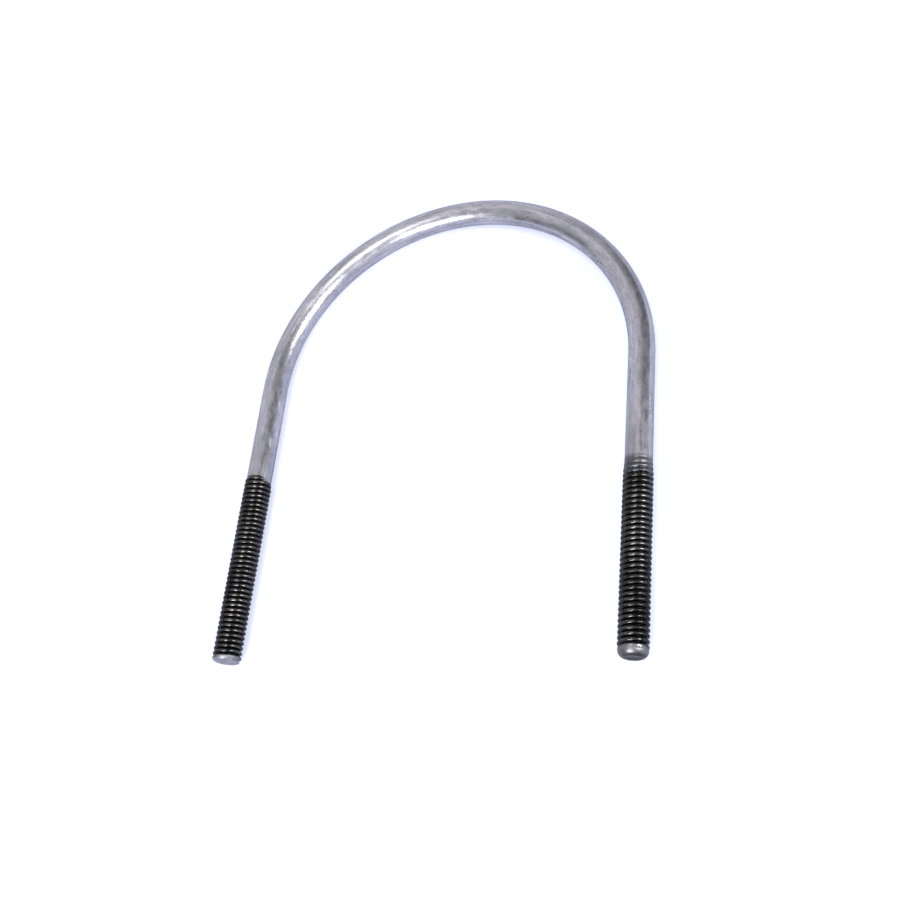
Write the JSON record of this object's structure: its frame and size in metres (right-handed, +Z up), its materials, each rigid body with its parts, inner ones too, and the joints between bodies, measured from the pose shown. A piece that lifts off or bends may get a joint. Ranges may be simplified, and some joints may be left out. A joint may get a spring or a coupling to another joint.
{
  "type": "round-bend U-bolt",
  "caption": "Bare round-bend U-bolt: one plain steel bar bent into a half-round bow, with a rolled right-hand thread and a chamfered tip on each straight leg.",
  "frame": {"origin": "under the middle of the bounding box, on the surface that the bolt lies on", "axes": "+Y along the two legs towards the bow, +X across the legs, +Z up out of the plane of the U"},
  "size_m": [0.1182, 0.1416, 0.0078],
  "materials": {
    "zinc_steel": "satin, lightly scuffed bright bar; the rolled threads are darker and oily"
  },
  "bodies": {
    "root": {"u_bolt": "zinc_steel"}
  },
  "joints": []
}
